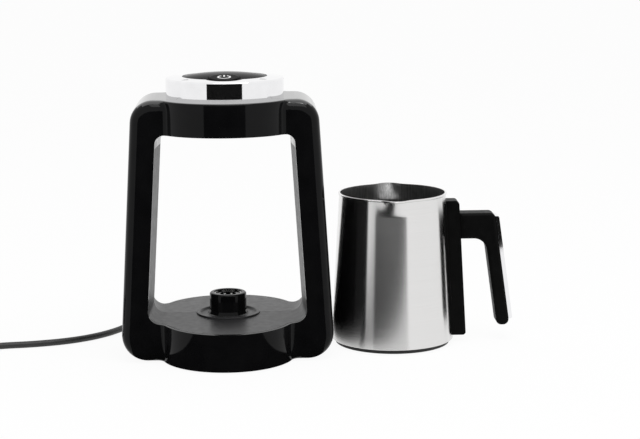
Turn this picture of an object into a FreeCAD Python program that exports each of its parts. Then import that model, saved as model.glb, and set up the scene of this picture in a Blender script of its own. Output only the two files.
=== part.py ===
import FreeCAD, Part
import math
import os

import Sketcher

# An electric coffee maker: an arched station with a connector post in its middle,
# and a steel pot with a double spout and a side handle that sits on that post.
# The origin is on the floor under the connector post, the front faces -Y.

SIZES = {
    # station outline, seen from the front
    "foot_gap": 2.0,
    "foot_half_width": 95.0,
    "cover_half_width": 81.0,
    "cover_top": 231.5,
    "base_corner": 23.0,
    "shoulder_corner": 20.0,
    "column_half_depth": 42.0,
    "column_edge": 9.5,
    # round base and round top band, seen from above
    "base_radius": 81.0,
    "base_side": 58.5,
    "base_side_round": 12.0,
    "base_edge": 2.5,
    "base_overlap": 6.0,
    "band_front": 70.0,
    "band_radius": 60.0,
    "band_side": 52.0,
    "band_edge": 2.5,
    # window between the columns, at the mid plane
    "deck_height": 36.0,
    "deck_half_width": 67.1,
    "band_height": 201.0,
    "window_top_half": 56.9,
    "deck_corner": 11.0,
    "window_corner": 8.0,
    "window_reach": 95.0,
    "side_draft": 7.4,
    "deck_draft": 2.4,
    "band_draft": 2.0,
    # shells and lining
    "front_depth": 12.0,
    "cover_seam": 212.0,
    "skin": 2.6,
    "groove": 0.6,
    "lining": 3.0,
    "wall": 2.4,
    "fit": 0.2,
    "base_plate": 2.0,
    "bottom_margin": 4.0,
    "boss_radius": 3.5,
    "board_height": 12.0,
    "board_long": 76.0,
    "board_wide": 48.0,
    "board_thick": 1.6,
    "relay_long": 22.0,
    "relay_wide": 16.0,
    "relay_high": 11.0,
    "foot_radius": 7.0,
    "foot_inset": 9.0,
    "foot_back": 5.0,
    # ring, panel and button on top
    "ring_radius": 52.1,
    "ring_top": 247.9,
    "ring_bevel": 1.4,
    "ring_rise": 1.4,
    "panel_radius": 37.0,
    "panel_rise": 2.0,
    "panel_gap": 0.4,
    "panel_thick": 3.0,
    "lobe_radius": 16.5,
    "button_radius": 13.6,
    "button_fore": 28.0,
    "button_gap": 0.5,
    "button_rise": 1.2,
    "button_skirt": 3.0,
    "button_crown": 0.8,
    "carrier_inset": 1.6,
    "carrier_wall": 2.0,
    "switch_radius": 3.5,
    "button_travel": 1.0,
    # connector post
    "post_radius": 16.5,
    "post_height": 18.7,
    "post_edge": 1.6,
    "post_foot": 1.4,
    "post_ring": 11.0,
    "post_ring_width": 1.6,
    "post_hole": 7.0,
    "post_well": 4.0,
    "contact_radius": 1.3,
    "contact_pitch": 6.0,
    "collar_radius": 28.5,
    "collar_width": 3.0,
    "collar_rise": 1.0,
    "collar_depth": 1.4,
    "moat_depth": 1.2,
    "spigot_radius": 14.0,
    # sensor under the band
    "sensor_radius": 26.0,
    "sensor_thick": 3.0,
    "sensor_proud": 1.2,
    "lens_radius": 7.0,
    "lens_bulge": 1.5,
    # pot
    "pot_gap": 2.0,
    "pot_y": 29.7,
    "rim_height": 138.8,
    "rim_radius": 48.6,
    "pot_foot_radius": 56.1,
    "pot_foot": 4.0,
    "pot_foot_corner": 3.0,
    "pot_steel": 1.0,
    "pot_floor": 26.0,
    "pot_floor_corner": 8.0,
    "rim_bead": 0.9,
    "spout_radius": 13.5,
    "spout_drop": 21.0,
    "spout_centre": 43.5,
    "spout_tip": 1.5,
    "spout_tip_share": 0.9,
    "pot_base_inset": 2.6,
    "pot_base_wall": 2.5,
    "pot_base_floor": 2.2,
    "pot_base_height": 9.0,
    "socket_clearance": 0.3,
    "socket_wall": 2.6,
    "socket_room": 1.0,
    "heater_radius": 44.0,
    "heater_thick": 3.0,
    "element_radius": 34.0,
    "element_size": 3.2,
    # handle
    "bracket_thick": 11.3,
    "bracket_half": 8.5,
    "bracket_foot": 6.0,
    "bracket_top": 131.0,
    "arm_top": 119.6,
    "arm_height": 23.6,
    "grip_top_out": 93.0,
    "grip_foot_out": 107.5,
    "grip_foot": 15.0,
    "grip_thick": 11.8,
    "grip_half": 10.5,
    "grip_inner": 12.0,
    "grip_corner": 5.0,
    "grip_edge": 3.0,
    "plate_thick": 3.4,
    "plate_half": 9.0,
    "plate_inset": 3.0,
    # mains cord
    "cord_diameter": 6.0,
    "gland_height": 14.0,
    "gland_length": 24.0,
    "gland_foot": 6.5,
    "gland_tip": 4.2,
    "flange_radius": 9.0,
    "flange_thick": 2.0,
    "slot_pitch": 4.6,
    "slot_width": 1.6,
    "slot_core": 0.8,
    "coil_x": -262.0,
    "coil_y": 42.0,
    "coil_radius": 33.0,
    "coil_step": 7.2,
    "coil_turns": 3,
    "lead_reach": 94.0,
    "plug_radius": 18.0,
    "plug_length": 38.0,
    "plug_face": 19.5,
    "plug_pin_radius": 2.4,
    "plug_pin_length": 19.0,
    "plug_pin_pitch": 19.0,
}

doc = FreeCAD.newDocument("coffee_maker")
sheet = doc.addObject("Spreadsheet::Sheet", "Sizes")
for row, (name, number) in enumerate(SIZES.items(), start=1):
    sheet.set("A%d" % row, name)
    sheet.set("B%d" % row, str(number))
    sheet.setAlias("B%d" % row, name)
doc.recompute()


class Size:
    """A size that carries its number and the sheet expression behind it."""

    def __init__(self, number, text):
        self.number = float(number)
        self.text = text

    def _join(self, other, sign, result, turned=False):
        other_text = other.text if isinstance(other, Size) else repr(float(other))
        first, second = (other_text, self.text) if turned else (self.text, other_text)
        return Size(result, "(%s %s %s)" % (first, sign, second))

    def __float__(self):
        return self.number

    def __add__(self, other):
        return self._join(other, "+", self.number + float(other))

    def __radd__(self, other):
        return self._join(other, "+", float(other) + self.number, True)

    def __sub__(self, other):
        return self._join(other, "-", self.number - float(other))

    def __rsub__(self, other):
        return self._join(other, "-", float(other) - self.number, True)

    def __mul__(self, other):
        return self._join(other, "*", self.number * float(other))

    def __rmul__(self, other):
        return self._join(other, "*", float(other) * self.number, True)

    def __truediv__(self, other):
        return self._join(other, "/", self.number / float(other))

    def __neg__(self):
        return Size(-self.number, "(0 - %s)" % self.text)


def root(value):
    return Size(math.sqrt(float(value)), "sqrt(%s)" % value.text)


S = {name: Size(number, "Sizes.%s" % name) for name, number in SIZES.items()}


ZERO = Size(0, "0")


def bind(thing, path, value):
    """Set one property of an object from a size, and tie it to the sheet."""
    if isinstance(value, Size):
        thing.setExpression(path, value.text)


def place(thing, x=0, y=0, z=0, axis=None, angle=0):
    """Put an object at a point, turned about an axis, with the point tied to the sheet."""
    turn = FreeCAD.Rotation(FreeCAD.Vector(*(axis or (0, 0, 1))), angle)
    thing.Placement = FreeCAD.Placement(FreeCAD.Vector(float(x), float(y), float(z)), turn)
    for letter, value in zip("xyz", (x, y, z)):
        bind(thing, "Placement.Base.%s" % letter, value)
    return thing


def primitive(kind, name, x=0, y=0, z=0, axis=None, angle=0, **sizes):
    thing = doc.addObject("Part::" + kind, name)
    for prop, value in sizes.items():
        setattr(thing, prop, float(value))
        bind(thing, prop, value)
    return place(thing, x, y, z, axis, angle)


def disc(name, radius, low, high, x=0, y=0):
    return primitive("Cylinder", name, x, y, low, Radius=radius, Height=high - low)


def block(name, x0, x1, y0, y1, z0, z1):
    return primitive("Box", name, x0, y0, z0, Length=x1 - x0, Width=y1 - y0, Height=z1 - z0)


def cut(name, base, *tools):
    tool = tools[0] if len(tools) == 1 else fuse(name + "_tools", *tools)
    result = doc.addObject("Part::Cut", name)
    result.Base = base
    result.Tool = tool
    return result


def fuse(name, *shapes):
    result = doc.addObject("Part::MultiFuse", name)
    result.Shapes = list(shapes)
    result.Refine = True
    return result


def common(name, *shapes):
    result = doc.addObject("Part::MultiCommon", name)
    result.Shapes = list(shapes)
    result.Refine = True
    return result


def mirrored(name, source):
    """The same form on the other side of the mid plane."""
    result = doc.addObject("Part::Mirroring", name)
    result.Source = source
    result.Normal = FreeCAD.Vector(0, 1, 0)
    return result


def new_body(name):
    return doc.addObject("PartDesign::Body", name)


def plane_of(body, role):
    for feature in body.Origin.OriginFeatures:
        if feature.Role == role:
            return feature
    raise ValueError(role)


def sketch_on(body, role, name, offset=None):
    sketch = body.newObject("Sketcher::SketchObject", name)
    sketch.AttachmentSupport = (plane_of(body, role), "")
    sketch.MapMode = "FlatFace"
    if offset is not None:
        sketch.AttachmentOffset = FreeCAD.Placement(
            FreeCAD.Vector(0, 0, float(offset)), FreeCAD.Rotation())
        bind(sketch, "AttachmentOffset.Base.z", offset)
    return sketch


def hold(sketch, geometry, point, x, y):
    """Hold one sketch point at x, y, with both distances tied to the sheet."""
    for kind, axis, value in (("DistanceX", -2, x), ("DistanceY", -1, y)):
        if abs(float(value)) < 1e-9:
            sketch.addConstraint(Sketcher.Constraint("PointOnObject", geometry, point, axis))
        else:
            index = sketch.addConstraint(
                Sketcher.Constraint(kind, -1, 1, geometry, point, float(value)))
            bind(sketch, "Constraints[%d]" % index, value)


def outline(sketch, corners):
    """A closed outline of straight lines through corners (x, y, radius or None)."""
    points = [FreeCAD.Vector(float(c[0]), float(c[1]), 0) for c in corners]
    radii = [c[2] if len(c) > 2 else None for c in corners]
    count = len(points)
    starts, ends = [], []
    for i, point in enumerate(points):
        radius = radii[i]
        before = (points[i - 1] - point)
        after = (points[(i + 1) % count] - point)
        if radius is None:
            starts.append(point)
            ends.append(point)
            continue
        half = before.getAngle(after) / 2
        reach = float(radius) / math.tan(half)
        starts.append(point + before.normalize() * reach)
        ends.append(point + after.normalize() * reach)
    lines = []
    for i in range(count):
        line = Part.LineSegment(ends[i], starts[(i + 1) % count])
        lines.append(sketch.addGeometry(line, False))
    for i, point in enumerate(points):
        before, after = lines[i - 1], lines[i]
        if radii[i] is None:
            sketch.addConstraint(Sketcher.Constraint("Coincident", before, 2, after, 1))
            hold(sketch, after, 1, corners[i][0], corners[i][1])
            continue
        away = (starts[i] + ends[i]) * 0.5 - point
        half = (starts[i] - point).getAngle(ends[i] - point) / 2
        centre = point + away.normalize() * (float(radii[i]) / math.sin(half))
        middle = centre + (point - centre).normalize() * float(radii[i])
        onward = (starts[i] - centre).cross(ends[i] - centre).z > 0
        first, last = (starts[i], ends[i]) if onward else (ends[i], starts[i])
        arc = sketch.addGeometry(Part.Arc(first, middle, last), False)
        sketch.addConstraint(Sketcher.Constraint("Tangent", before, 2, arc, 1 if onward else 2))
        sketch.addConstraint(Sketcher.Constraint("Tangent", after, 1, arc, 2 if onward else 1))
        index = sketch.addConstraint(Sketcher.Constraint("Radius", arc, float(radii[i])))
        bind(sketch, "Constraints[%d]" % index, radii[i])
        corner = sketch.addGeometry(Part.Point(point), True)
        hold(sketch, corner, 1, corners[i][0], corners[i][1])
        sketch.addConstraint(Sketcher.Constraint("PointOnObject", corner, 1, before))
        sketch.addConstraint(Sketcher.Constraint("PointOnObject", corner, 1, after))
    return sketch


def pad(body, sketch, length, midplane=False, name="Pad"):
    feature = body.newObject("PartDesign::Pad", body.Name + "_" + name)
    feature.Profile = sketch
    feature.Length = float(length)
    bind(feature, "Length", length)
    feature.SideType = "Symmetric" if midplane else "One side"
    sketch.Visibility = False
    body.Tip = feature
    return feature


def turned(name, corners):
    """A solid of revolution about the upright axis, from its half section."""
    body = new_body(name)
    sketch = outline(sketch_on(body, "XZ_Plane", name + "_section"), corners)
    feature = body.newObject("PartDesign::Revolution", name + "_turn")
    feature.Profile = sketch
    feature.ReferenceAxis = (sketch, ["V_Axis"])
    feature.Angle = 360
    body.Tip = feature
    return body


def extruded(name, role, corners, length, offset=None, midplane=False):
    body = new_body(name)
    sketch = outline(sketch_on(body, role, name + "_outline", offset), corners)
    pad(body, sketch, length, midplane)
    return body


def round_edges(body, radius, choose, name="Round"):
    """Fillet the edges of the body's last feature that choose picks."""
    doc.recompute()
    base = body.Tip
    names = ["Edge%d" % (i + 1) for i, edge in enumerate(base.Shape.Edges) if choose(edge)]
    feature = body.newObject("PartDesign::Fillet", body.Name + "_" + name)
    feature.Base = (base, names)
    feature.Radius = float(radius)
    bind(feature, "Radius", radius)
    body.Tip = feature
    return feature


PARTS = []


def keep(thing, label):
    """Name a finished sub-part; its label is also the name of its file."""
    thing.Label = label
    PARTS.append(thing)
    return thing


# station: the arch seen from the front, rounded all round its outer edge
lean = (S["foot_half_width"] - S["cover_half_width"]) / (S["cover_top"] - S["foot_gap"])


def arch_slab(name, inset):
    """The upright slab that the two columns, base and top are cut from."""
    low = S["foot_half_width"] - inset
    high = S["cover_half_width"] - inset + lean * inset
    top = S["cover_top"] - inset
    foot = S["base_corner"] - inset
    shoulder = S["shoulder_corner"] - inset
    corners = [
        (-low, S["foot_gap"], foot),
        (low, S["foot_gap"], foot),
        (high, top, shoulder),
        (-high, top, shoulder),
    ]
    depth = (S["column_half_depth"] - inset) * 2
    body = extruded(name, "XZ_Plane", corners, depth, midplane=True)

    def face_edge(edge):
        box = edge.BoundBox
        return box.YLength < 0.01 and abs(abs(box.YMin) * 2 - float(depth)) < 0.01

    round_edges(body, S["column_edge"] - inset, face_edge)
    return body


def bulge(name, radius, side, centre, low, high, corner=None, edge=None, edge_top=False):
    """A front bulge of the base or the top: flat sides and a large arc in front."""
    body = new_body(name)
    sketch = sketch_on(body, "XY_Plane", name + "_outline", low)
    reach = centre - root(radius * radius - side * side)
    left = FreeCAD.Vector(-float(side), float(reach), 0)
    right = FreeCAD.Vector(float(side), float(reach), 0)
    front = FreeCAD.Vector(0, float(centre - radius), 0)
    back_left = FreeCAD.Vector(left.x, 0, 0)
    back_right = FreeCAD.Vector(right.x, 0, 0)
    arc = sketch.addGeometry(Part.Arc(left, front, right), False)
    west = sketch.addGeometry(Part.LineSegment(back_left, left), False)
    east = sketch.addGeometry(Part.LineSegment(right, back_right), False)
    back = sketch.addGeometry(Part.LineSegment(back_right, back_left), False)
    for line_a, end_a, line_b, end_b in (
            (west, 2, arc, 1),
            (east, 1, arc, 2),
            (east, 2, back, 1),
            (back, 2, west, 1)):
        sketch.addConstraint(Sketcher.Constraint("Coincident", line_a, end_a, line_b, end_b))
    hold(sketch, west, 1, -side, 0)
    hold(sketch, east, 2, side, 0)
    sketch.addConstraint(Sketcher.Constraint("Vertical", west))
    sketch.addConstraint(Sketcher.Constraint("Vertical", east))
    hold(sketch, arc, 3, 0, centre)
    index = sketch.addConstraint(Sketcher.Constraint("Radius", arc, float(radius)))
    bind(sketch, "Constraints[%d]" % index, radius)
    pad(body, sketch, high - low)
    if corner is not None:
        def upright(item):
            box = item.BoundBox
            return box.ZLength > 1 and box.XLength + box.YLength < 0.01 and box.YMax < -1
        round_edges(body, corner, upright, "Corner")
    if edge is not None:
        level = float(high if edge_top else low)

        def rim(item):
            box = item.BoundBox
            return box.ZLength < 0.01 and abs(box.ZMin - level) < 0.01 and box.YMin < -1
        round_edges(body, edge, rim, "Edge")
    return body


def window(name, spread, above):
    """Half of the window between the columns, from the mid plane out to the front.

    It widens towards the front by the draft; spread makes it larger at the sides
    and below, above makes it taller.
    """
    body = new_body(name)
    sketches = []
    for level, share in (("mid", 0), ("front", 1)):
        offset = S["window_reach"] * share
        low = S["deck_height"] - S["deck_draft"] * share - spread
        high = S["band_height"] + S["band_draft"] * share + above
        tilt = (S["deck_half_width"] - S["window_top_half"]) / (
            S["band_height"] - S["deck_height"])
        low_half = S["deck_half_width"] + S["side_draft"] * share + spread * (1 + tilt)
        high_half = S["window_top_half"] + S["side_draft"] * share + spread - tilt * above
        sketch = sketch_on(body, "XZ_Plane", "%s_%s" % (name, level), offset)
        outline(sketch, [
            (-low_half, low, S["deck_corner"] + spread),
            (low_half, low, S["deck_corner"] + spread),
            (high_half, high, S["window_corner"] + spread),
            (-high_half, high, S["window_corner"] + spread),
        ])
        sketches.append(sketch)
    loft = body.newObject("PartDesign::AdditiveLoft", name + "_loft")
    loft.Profile = sketches[0]
    loft.Sections = sketches[1:]
    loft.Ruled = True
    body.Tip = loft
    return body


def plan(name, inset, low, high, reach=None):
    """The station's plan from above, drawn in by inset, as an upright prism."""
    half = S["column_half_depth"] - inset
    side = reach if reach is not None else S["foot_half_width"]
    middle = block(name + "_middle", -side, side, -half, half, low, high)
    front = bulge(name + "_front", S["base_radius"] - inset, S["base_side"] - inset,
                  ZERO, low, high, corner=S["base_side_round"] - inset)
    return fuse(name, middle, front, mirrored(name + "_rear", front))


def housing(name, inset):
    """The whole closed outside form of the station, drawn in by inset."""
    slab = arch_slab(name + "_slab", inset)
    base = bulge(name + "_base", S["base_radius"] - inset, S["base_side"] - inset, ZERO,
                 S["foot_gap"] + inset, S["deck_height"] + S["base_overlap"],
                 corner=S["base_side_round"] - inset, edge=S["base_edge"])
    band = bulge(name + "_band", S["band_radius"] - inset, S["band_side"] - inset,
                 S["band_radius"] - S["band_front"], S["band_height"] - S["base_overlap"],
                 S["cover_top"] - inset, edge=S["band_edge"], edge_top=True)
    return fuse(name, slab, base, mirrored(name + "_base_rear", base),
                band, mirrored(name + "_band_rear", band))


outside = housing("outside", ZERO)
inside = housing("inside", S["wall"])
window_front = window("window_front", ZERO, ZERO)
window_rear = mirrored("window_rear", window_front)
arch = cut("arch", outside, window_front, window_rear)

# cavity of the housing, open below for the base plate
lined_front = window("lined_front", S["lining"], S["wall"])
lined_rear = mirrored("lined_rear", lined_front)
bottom_half = S["foot_half_width"] - S["base_corner"] - S["bottom_margin"]
bottom_hole = plan("bottom_hole", S["wall"], ZERO, S["foot_gap"] + S["base_corner"] / 2,
                   bottom_half)
cavity = cut("cavity", fuse("cavity_form", inside, bottom_hole), lined_front, lined_rear)

# satin lining of the deck and of the columns' inner sides, in two halves
lining_top = S["band_height"] - S["window_corner"] - S["lining"]
lining_zone = block("lining_zone", -S["foot_half_width"], S["foot_half_width"],
                    -S["window_reach"], S["window_reach"], ZERO, lining_top)
pocket_plan = plan("pocket_plan", S["skin"], ZERO, S["cover_top"])
lining_plan = plan("lining_plan", S["skin"] + S["groove"], ZERO, S["cover_top"])
wide_front = window("wide_front", S["lining"], ZERO)
wide_rear = mirrored("wide_rear", wide_front)
wide = fuse("wide", wide_front, wide_rear)
pocket = common("pocket", wide, pocket_plan, lining_zone)
collar_seat = disc("collar_seat", S["collar_radius"] + S["fit"],
                   S["deck_height"] - S["collar_depth"], S["cover_top"])
spigot_hole = disc("spigot_hole", S["spigot_radius"] + S["fit"], ZERO, S["cover_top"])
for half, sign in (("front", -1), ("rear", 1)):
    side_zone = block("lining_side_" + half, -S["foot_half_width"], S["foot_half_width"],
                      -S["window_reach"] if sign < 0 else ZERO,
                      ZERO if sign < 0 else S["window_reach"], ZERO, lining_top)
    form = common("lining_form_" + half, wide, lining_plan, side_zone)
    keep(cut("lining_" + half, form, window_front, window_rear, collar_seat, spigot_hole),
         "deck_" + half)

# gloss shells: front frame, rear shell below the seam, top cover above it
split = S["front_depth"] - S["column_half_depth"]
reach = S["window_reach"]
half_width = S["foot_half_width"] + S["wall"]
hollow_arch = cut("hollow_arch", arch, cavity, pocket)
front_zone = block("front_zone", -half_width, half_width, -reach, split,
                   ZERO, S["ring_top"])
keep(common("front_shell_form", hollow_arch, front_zone), "front_shell")

rear_zone = block("rear_zone", -half_width, half_width, split, reach, ZERO, S["cover_seam"])
sensor_hole = disc("sensor_hole", S["sensor_radius"] + S["fit"], S["band_height"] - S["wall"],
                   S["band_height"] + S["wall"] * 3)
gland_hole = primitive("Cylinder", "gland_hole", ZERO, S["base_radius"] - S["gland_length"],
                       S["gland_height"], (1, 0, 0), -90,
                       Radius=S["flange_radius"] + S["fit"], Height=S["gland_length"] * 2)
keep(cut("rear_shell_form", common("rear_part", hollow_arch, rear_zone),
         sensor_hole, gland_hole), "rear_shell")

cover_zone = block("cover_zone", -half_width, half_width, split, reach,
                   S["cover_seam"], S["ring_top"])
keep(common("top_cover_form", hollow_arch, cover_zone), "top_cover")

# base plate with bosses for the power board, on four rubber feet
plate_low = S["foot_gap"]
plate_high = plate_low + S["base_plate"]
plate_plan = plan("plate_plan", S["wall"] + S["fit"], plate_low, plate_high,
                  bottom_half - S["fit"])
bosses = [
    disc("boss_%d" % i, S["boss_radius"], plate_low, S["board_height"],
         S["board_long"] * a, S["board_wide"] * b)
    for i, (a, b) in enumerate(((-0.4, -0.4), (0.4, -0.4), (0.4, 0.4), (-0.4, 0.4)))
]
keep(fuse("base_plate_form", plate_plan, *bosses), "base_plate")
board_top = S["board_height"] + S["board_thick"]
keep(block("board", -S["board_long"] / 2, S["board_long"] / 2, -S["board_wide"] / 2,
           S["board_wide"] / 2, S["board_height"], board_top), "power_board")
keep(block("relay_block", -S["relay_long"] / 2, S["relay_long"] / 2, -S["relay_wide"] / 2,
           S["relay_wide"] / 2, board_top, board_top + S["relay_high"]), "power_relay")
foot_out = bottom_half - S["foot_radius"] - S["foot_inset"]
foot_fore = S["column_half_depth"] - S["foot_radius"] - S["foot_back"]
for side, a in (("left", -1), ("right", 1)):
    for end, b in (("front", -1), ("rear", 1)):
        foot = turned("foot_%s_%s_form" % (end, side), [
            (0, 0), (S["foot_radius"], 0, S["foot_gap"] / 2),
            (S["foot_radius"], S["foot_gap"]), (0, S["foot_gap"])])
        place(foot, foot_out * a, foot_fore * b)
        keep(foot, "foot_%s_%s" % (end, side))

# top: chrome ring, panel carrier, domed panel, button and its switch
cover = S["cover_top"]
panel_edge = S["ring_top"] + S["ring_rise"]
panel_low = panel_edge - S["panel_thick"]
lip = S["panel_radius"] + S["panel_gap"]
ring_form = turned("ring_form", [
    (S["ring_radius"] - S["wall"], cover),
    (S["ring_radius"], cover),
    (S["ring_radius"], S["ring_top"], S["ring_bevel"]),
    (S["panel_radius"] - S["wall"], panel_edge),
    (S["panel_radius"] - S["wall"], panel_edge - S["wall"]),
    (S["ring_radius"] - S["wall"], S["ring_top"] - S["wall"]),
])


def keyhole(name, grow, low, high, lobe):
    """A round plan with a smaller lobe in front of it, round the button."""
    return fuse(name, disc(name + "_round", S["panel_radius"] + grow, low, high),
                disc(name + "_lobe", lobe, low, high, ZERO, -S["button_fore"]))


ring_bore = keyhole("ring_bore", S["panel_gap"], cover, panel_edge + S["panel_rise"],
                    S["lobe_radius"] + S["panel_gap"])
keep(cut("ring_cut", ring_form, ring_bore), "chrome_ring")

panel_top = panel_edge + S["panel_rise"]
dome_radius = (S["panel_radius"] * S["panel_radius"] / S["panel_rise"]
               + S["panel_rise"]) / 2
dome = primitive("Sphere", "dome", ZERO, ZERO, panel_top - dome_radius, Radius=dome_radius)
panel_plan = keyhole("panel_plan", ZERO, panel_low, panel_top, S["lobe_radius"])
button_hole = disc("button_hole", S["button_radius"] + S["button_gap"],
                   cover, panel_top + S["panel_rise"], ZERO, -S["button_fore"])
keep(cut("panel_cut", common("panel_form", panel_plan, dome), button_hole), "top_panel")

carrier_out = keyhole("carrier_out", -S["carrier_inset"], cover, panel_low,
                      S["lobe_radius"] - S["fit"])
carrier_in = keyhole("carrier_in", -S["carrier_inset"] - S["carrier_wall"],
                     cover + S["carrier_wall"], panel_top,
                     S["lobe_radius"] - S["fit"] - S["carrier_wall"])
keep(cut("carrier_cut", carrier_out, carrier_in), "panel_carrier")
board_low = cover + S["carrier_wall"]
keep(disc("switch_board_form", S["panel_radius"] - S["carrier_inset"] - S["carrier_wall"]
          - S["fit"], board_low, board_low + S["board_thick"]), "switch_board")

button_low = panel_low - S["button_skirt"]
button_top = panel_top + S["button_rise"]
button = turned("button_form", [
    (0, button_low),
    (S["button_radius"], button_low),
    (S["button_radius"], button_top - S["button_crown"], S["button_crown"] / 2),
    (S["button_radius"] * 0.55, button_top),
    (0, button_top),
])
place(button, ZERO, -S["button_fore"])
keep(button, "power_button")
switch = disc("switch_form", S["switch_radius"], board_low + S["board_thick"],
              button_low - S["button_travel"] - S["button_gap"], ZERO, -S["button_fore"])
keep(switch, "button_switch")

# connector post in the middle of the deck, with its moat, contact ring and two pins
deck = S["deck_height"]
post_top = deck + S["post_height"]
keep(turned("collar_form", [
    (S["spigot_radius"], deck - S["collar_depth"]),
    (S["collar_radius"], deck - S["collar_depth"]),
    (S["collar_radius"], deck + S["collar_rise"], S["collar_rise"] / 2),
    (S["collar_radius"] - S["collar_width"], deck + S["collar_rise"], S["collar_rise"] / 2),
    (S["collar_radius"] - S["collar_width"] - S["moat_depth"], deck - S["moat_depth"] / 2),
    (S["post_radius"] + S["post_foot"] + S["moat_depth"], deck - S["moat_depth"] / 2),
    (S["post_radius"] + S["post_foot"], deck),
    (S["spigot_radius"], deck),
]), "post_collar")
ring_out = S["post_ring"] + S["post_ring_width"]
keep(turned("post_form", [
    (0, deck - S["lining"] * 2),
    (S["spigot_radius"], deck - S["lining"] * 2),
    (S["spigot_radius"], deck),
    (S["post_radius"] + S["post_foot"], deck),
    (S["post_radius"] + S["post_foot"] / 2, deck + S["post_foot"]),
    (S["post_radius"], deck + S["post_foot"] * 2),
    (S["post_radius"], post_top, S["post_edge"]),
    (ring_out, post_top, S["post_edge"] / 4),
    (ring_out, post_top - S["post_well"]),
    (S["post_ring"], post_top - S["post_well"]),
    (S["post_ring"], post_top - S["post_edge"], S["post_edge"] / 4),
    (S["post_hole"], post_top - S["post_edge"], S["post_edge"] / 4),
    (S["post_hole"], post_top - S["post_well"]),
    (0, post_top - S["post_well"]),
]), "connector_post")
keep(turned("ring_contact", [
    (S["post_ring"], post_top - S["post_well"]),
    (ring_out, post_top - S["post_well"]),
    (ring_out, post_top - S["post_edge"] / 2),
    (S["post_ring"], post_top - S["post_edge"] / 2),
]), "contact_ring")
for side, a in (("left", -1), ("right", 1)):
    pin = turned("contact_pin_" + side, [
        (0, post_top - S["post_well"]),
        (S["contact_radius"], post_top - S["post_well"]),
        (S["contact_radius"], post_top - S["post_edge"], S["contact_radius"] * 0.6),
        (0, post_top - S["post_edge"]),
    ])
    place(pin, S["contact_pitch"] / 2 * a, ZERO)
    keep(pin, "contact_" + side)

# foam sensor plate under the top band, with a small lens
sensor_low = S["band_height"] - S["sensor_proud"]
keep(turned("sensor_form", [
    (S["lens_radius"] + S["fit"], sensor_low),
    (S["sensor_radius"], sensor_low, S["sensor_proud"]),
    (S["sensor_radius"], sensor_low + S["sensor_thick"] * 2),
    (S["lens_radius"] + S["fit"], sensor_low + S["sensor_thick"] * 2),
]), "sensor_plate")
lens_low = sensor_low - S["lens_bulge"] / 2
keep(turned("lens_form", [
    (0, lens_low),
    (S["lens_radius"] * 0.6, lens_low, S["lens_bulge"]),
    (S["lens_radius"], sensor_low + S["lens_bulge"] / 2),
    (S["lens_radius"], sensor_low + S["sensor_thick"]),
    (0, sensor_low + S["sensor_thick"]),
]), "sensor_lens")

# pot, modelled on its own axis with its foot at z = 0, then set beside the station,
# with a gap to it at the height where the station's side is widest
rim = S["rim_height"]
taper = (S["pot_foot_radius"] - S["rim_radius"]) / (rim - S["pot_foot"])
widest = S["foot_gap"] + S["base_corner"]
pot_x = (S["foot_half_width"] - lean * S["base_corner"]
         + S["pot_foot_radius"] - taper * (widest - S["pot_foot"]) + S["pot_gap"])
pot_y = S["pot_y"]
steel = S["pot_steel"]
floor = S["pot_floor"]
above_floor = S["pot_foot_radius"] - taper * (floor + steel - S["pot_foot"]) - steel
shell = turned("pot_shell", [
    (S["pot_foot_radius"] - steel, S["pot_foot"]),
    (S["pot_foot_radius"], S["pot_foot"]),
    (S["rim_radius"], rim - S["rim_bead"] * 2),
    (S["rim_radius"] + S["rim_bead"], rim - S["rim_bead"], S["rim_bead"] / 2),
    (S["rim_radius"] + S["rim_bead"] / 2, rim, S["rim_bead"] / 2),
    (S["rim_radius"] - steel, rim - S["rim_bead"] / 2),
    (above_floor, floor + steel, S["pot_floor_corner"]),
    (0, floor + steel),
    (0, floor),
    (above_floor, floor, S["pot_floor_corner"]),
])


def spout_cone(name, sign, shrink):
    """One of the two pouring lips, a cone that opens towards the rim."""
    return primitive(
        "Cone", name, ZERO, S["spout_centre"] * sign, rim - S["spout_drop"],
        Radius1=S["spout_tip"] - shrink * S["spout_tip_share"],
        Radius2=S["spout_radius"] - shrink, Height=S["spout_drop"])


hollow = turned("pot_hollow", [
    (0, floor + steel),
    (above_floor, floor + steel, S["pot_floor_corner"]),
    (S["rim_radius"] - steel, rim - S["rim_bead"] / 2),
    (S["rim_radius"] - steel, rim + S["rim_bead"]),
    (0, rim + S["rim_bead"]),
])
spouts = [spout_cone("spout_" + end, sign, ZERO) for end, sign in (("front", -1), ("rear", 1))]
mouths = [spout_cone("mouth_" + end, sign, steel) for end, sign in (("front", -1), ("rear", 1))]
pot_body = cut("pot_cut", fuse("pot_outer", shell, *spouts), hollow, *mouths)
keep(place(pot_body, pot_x, pot_y), "pot_body")

bore = S["post_radius"] + S["socket_clearance"]
skirt = S["pot_foot_radius"] - steel - S["pot_base_inset"]
socket_top = S["post_height"] + S["socket_room"]
base_floor = S["pot_base_floor"]
keep(place(turned("pot_base_form", [
    (bore, 0),
    (bore + S["socket_wall"], 0, S["pot_base_floor"] / 3),
    (bore + S["socket_wall"], base_floor / 2),
    (skirt - S["pot_base_wall"], base_floor / 2),
    (skirt - S["pot_base_wall"], 0),
    (skirt, 0, S["pot_base_floor"] / 3),
    (skirt, S["pot_foot"]),
    (S["pot_foot_radius"] - steel * 2, S["pot_foot"]),
    (S["pot_foot_radius"] - steel * 2, S["pot_base_height"]),
    (S["pot_foot_radius"] - steel * 2 - S["pot_base_wall"], S["pot_base_height"]),
    (S["pot_foot_radius"] - steel * 2 - S["pot_base_wall"], S["pot_foot"] + base_floor),
    (bore + S["socket_wall"], S["pot_foot"] + base_floor),
    (bore + S["socket_wall"], socket_top + S["socket_wall"]),
    (0, socket_top + S["socket_wall"]),
    (0, socket_top),
    (bore, socket_top),
]), pot_x, pot_y), "pot_base")
heater_high = floor
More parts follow.
